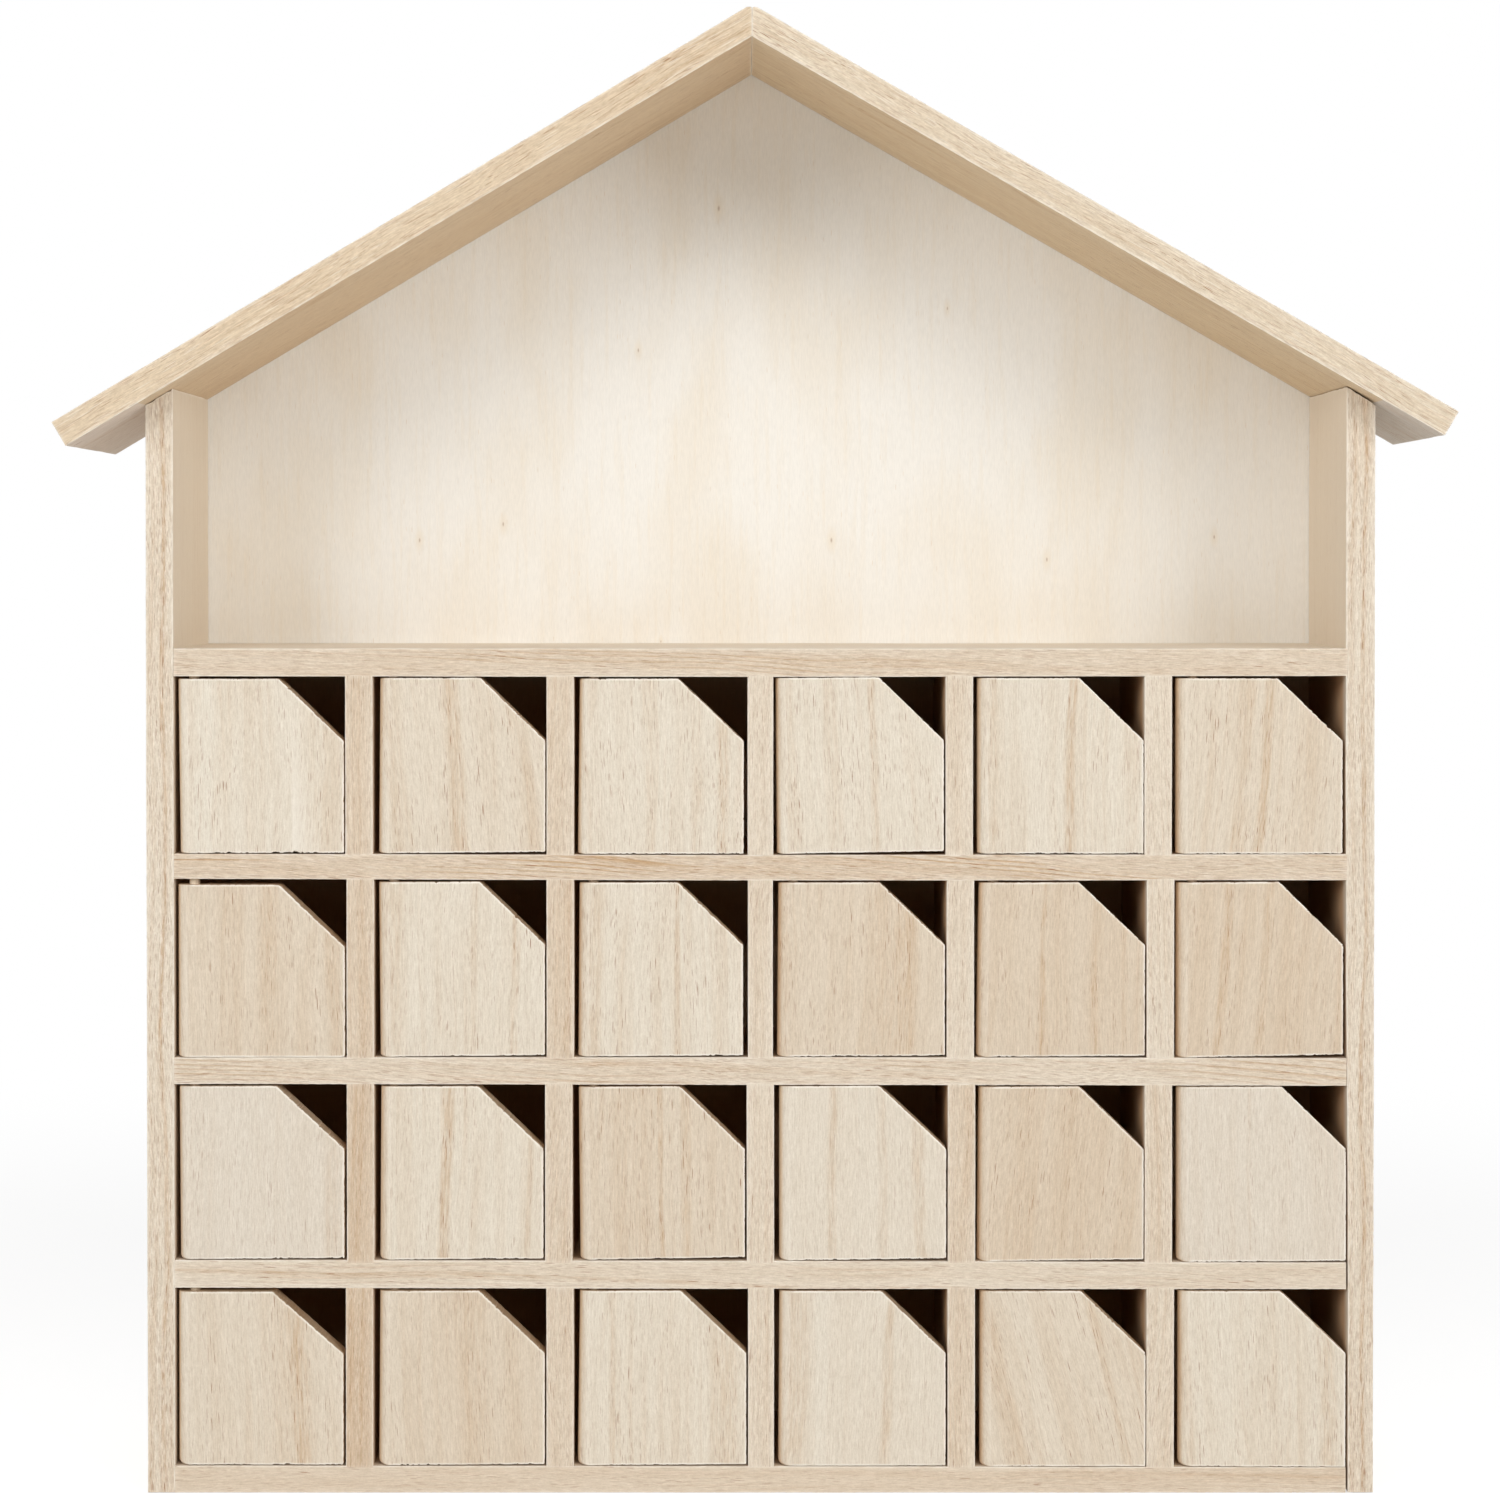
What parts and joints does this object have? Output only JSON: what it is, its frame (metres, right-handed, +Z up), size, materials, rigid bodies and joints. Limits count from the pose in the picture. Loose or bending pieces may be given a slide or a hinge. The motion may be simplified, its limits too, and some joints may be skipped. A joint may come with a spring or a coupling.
{
  "type": "advent calendar",
  "caption": "House-shaped wooden advent calendar with rows of small pin-hinged doors with cut corners, an open attic shelf and a gable roof.",
  "frame": {"origin": "on the ground, at the middle of the house's footprint with its roof", "axes": "+Z up; the doors and the open attic face -Y; +X is to the right as seen from the front"},
  "size_m": [0.405, 0.0708, 0.4317],
  "materials": {
    "case_wood": "raw planed",
    "roof_wood": "raw sawn",
    "door_wood": "raw sanded",
    "back_plywood": "raw sanded plywood"
  },
  "bodies": {
    "house": {"left_wall": "case_wood", "right_wall": "case_wood", "base_board": "case_wood", "shelf_3": "case_wood", "shelf_2": "case_wood", "shelf_1": "case_wood", "attic_floor": "case_wood", "divider_row1_1": "case_wood", "divider_row1_2": "case_wood", "divider_row1_3": "case_wood", "divider_row1_4": "case_wood", "divider_row1_5": "case_wood", "divider_row2_1": "case_wood", "divider_row2_2": "case_wood", "divider_row2_3": "case_wood", "divider_row2_4": "case_wood", "divider_row2_5": "case_wood", "divider_row3_1": "case_wood", "divider_row3_2": "case_wood", "divider_row3_3": "case_wood", "divider_row3_4": "case_wood", "divider_row3_5": "case_wood", "divider_row4_1": "case_wood", "divider_row4_2": "case_wood", "divider_row4_3": "case_wood", "divider_row4_4": "case_wood", "divider_row4_5": "case_wood", "roof_left": "roof_wood", "roof_right": "roof_wood", "back_panel": "back_plywood"},
    "door_01": {"door_01": "door_wood"},
    "door_02": {"door_02": "door_wood"},
    "door_03": {"door_03": "door_wood"},
    "door_04": {"door_04": "door_wood"},
    "door_05": {"door_05": "door_wood"},
    "door_06": {"door_06": "door_wood"},
    "door_07": {"door_07": "door_wood"},
    "door_08": {"door_08": "door_wood"},
    "door_09": {"door_09": "door_wood"},
    "door_10": {"door_10": "door_wood"},
    "door_11": {"door_11": "door_wood"},
    "door_12": {"door_12": "door_wood"},
    "door_13": {"door_13": "door_wood"},
    "door_14": {"door_14": "door_wood"},
    "door_15": {"door_15": "door_wood"},
    "door_16": {"door_16": "door_wood"},
    "door_17": {"door_17": "door_wood"},
    "door_18": {"door_18": "door_wood"},
    "door_19": {"door_19": "door_wood"},
    "door_20": {"door_20": "door_wood"},
    "door_21": {"door_21": "door_wood"},
    "door_22": {"door_22": "door_wood"},
    "door_23": {"door_23": "door_wood"},
    "door_24": {"door_24": "door_wood"}
  },
  "joints": [
    {"name": "door_01_swing", "type": "hinge", "parent": "house", "child": "door_01", "pos_m": [-0.16397, -0.0219, 0.21313], "axis": [0, 0, -1], "range_deg": [0, 120]},
    {"name": "door_02_swing", "type": "hinge", "parent": "house", "child": "door_02", "pos_m": [-0.10557, -0.0219, 0.21313], "axis": [0, 0, -1], "range_deg": [0, 120]},
    {"name": "door_03_swing", "type": "hinge", "parent": "house", "child": "door_03", "pos_m": [-0.04717, -0.0219, 0.21313], "axis": [0, 0, -1], "range_deg": [0, 120]},
    {"name": "door_04_swing", "type": "hinge", "parent": "house", "child": "door_04", "pos_m": [0.01123, -0.0219, 0.21313], "axis": [0, 0, -1], "range_deg": [0, 120]},
    {"name": "door_05_swing", "type": "hinge", "parent": "house", "child": "door_05", "pos_m": [0.06963, -0.0219, 0.21313], "axis": [0, 0, -1], "range_deg": [0, 120]},
    {"name": "door_06_swing", "type": "hinge", "parent": "house", "child": "door_06", "pos_m": [0.12803, -0.0219, 0.21313], "axis": [0, 0, -1], "range_deg": [0, 120]},
    {"name": "door_07_swing", "type": "hinge", "parent": "house", "child": "door_07", "pos_m": [-0.16397, -0.0219, 0.15338], "axis": [0, 0, -1], "range_deg": [0, 120]},
    {"name": "door_08_swing", "type": "hinge", "parent": "house", "child": "door_08", "pos_m": [-0.10557, -0.0219, 0.15338], "axis": [0, 0, -1], "range_deg": [0, 120]},
    {"name": "door_09_swing", "type": "hinge", "parent": "house", "child": "door_09", "pos_m": [-0.04717, -0.0219, 0.15338], "axis": [0, 0, -1], "range_deg": [0, 120]},
    {"name": "door_10_swing", "type": "hinge", "parent": "house", "child": "door_10", "pos_m": [0.01123, -0.0219, 0.15338], "axis": [0, 0, -1], "range_deg": [0, 120]},
    {"name": "door_11_swing", "type": "hinge", "parent": "house", "child": "door_11", "pos_m": [0.06963, -0.0219, 0.15338], "axis": [0, 0, -1], "range_deg": [0, 120]},
    {"name": "door_12_swing", "type": "hinge", "parent": "house", "child": "door_12", "pos_m": [0.12803, -0.0219, 0.15338], "axis": [0, 0, -1], "range_deg": [0, 120]},
    {"name": "door_13_swing", "type": "hinge", "parent": "house", "child": "door_13", "pos_m": [-0.16397, -0.0219, 0.09362], "axis": [0, 0, -1], "range_deg": [0, 120]},
    {"name": "door_14_swing", "type": "hinge", "parent": "house", "child": "door_14", "pos_m": [-0.10557, -0.0219, 0.09362], "axis": [0, 0, -1], "range_deg": [0, 120]},
    {"name": "door_15_swing", "type": "hinge", "parent": "house", "child": "door_15", "pos_m": [-0.04717, -0.0219, 0.09362], "axis": [0, 0, -1], "range_deg": [0, 120]},
    {"name": "door_16_swing", "type": "hinge", "parent": "house", "child": "door_16", "pos_m": [0.01123, -0.0219, 0.09362], "axis": [0, 0, -1], "range_deg": [0, 120]},
    {"name": "door_17_swing", "type": "hinge", "parent": "house", "child": "door_17", "pos_m": [0.06963, -0.0219, 0.09362], "axis": [0, 0, -1], "range_deg": [0, 120]},
    {"name": "door_18_swing", "type": "hinge", "parent": "house", "child": "door_18", "pos_m": [0.12803, -0.0219, 0.09362], "axis": [0, 0, -1], "range_deg": [0, 120]},
    {"name": "door_19_swing", "type": "hinge", "parent": "house", "child": "door_19", "pos_m": [-0.16397, -0.0219, 0.03388], "axis": [0, 0, -1], "range_deg": [0, 120]},
    {"name": "door_20_swing", "type": "hinge", "parent": "house", "child": "door_20", "pos_m": [-0.10557, -0.0219, 0.03388], "axis": [0, 0, -1], "range_deg": [0, 120]},
    {"name": "door_21_swing", "type": "hinge", "parent": "house", "child": "door_21", "pos_m": [-0.04717, -0.0219, 0.03388], "axis": [0, 0, -1], "range_deg": [0, 120]},
    {"name": "door_22_swing", "type": "hinge", "parent": "house", "child": "door_22", "pos_m": [0.01123, -0.0219, 0.03388], "axis": [0, 0, -1], "range_deg": [0, 120]},
    {"name": "door_23_swing", "type": "hinge", "parent": "house", "child": "door_23", "pos_m": [0.06963, -0.0219, 0.03388], "axis": [0, 0, -1], "range_deg": [0, 120]},
    {"name": "door_24_swing", "type": "hinge", "parent": "house", "child": "door_24", "pos_m": [0.12803, -0.0219, 0.03388], "axis": [0, 0, -1], "range_deg": [0, 120]}
  ]
}
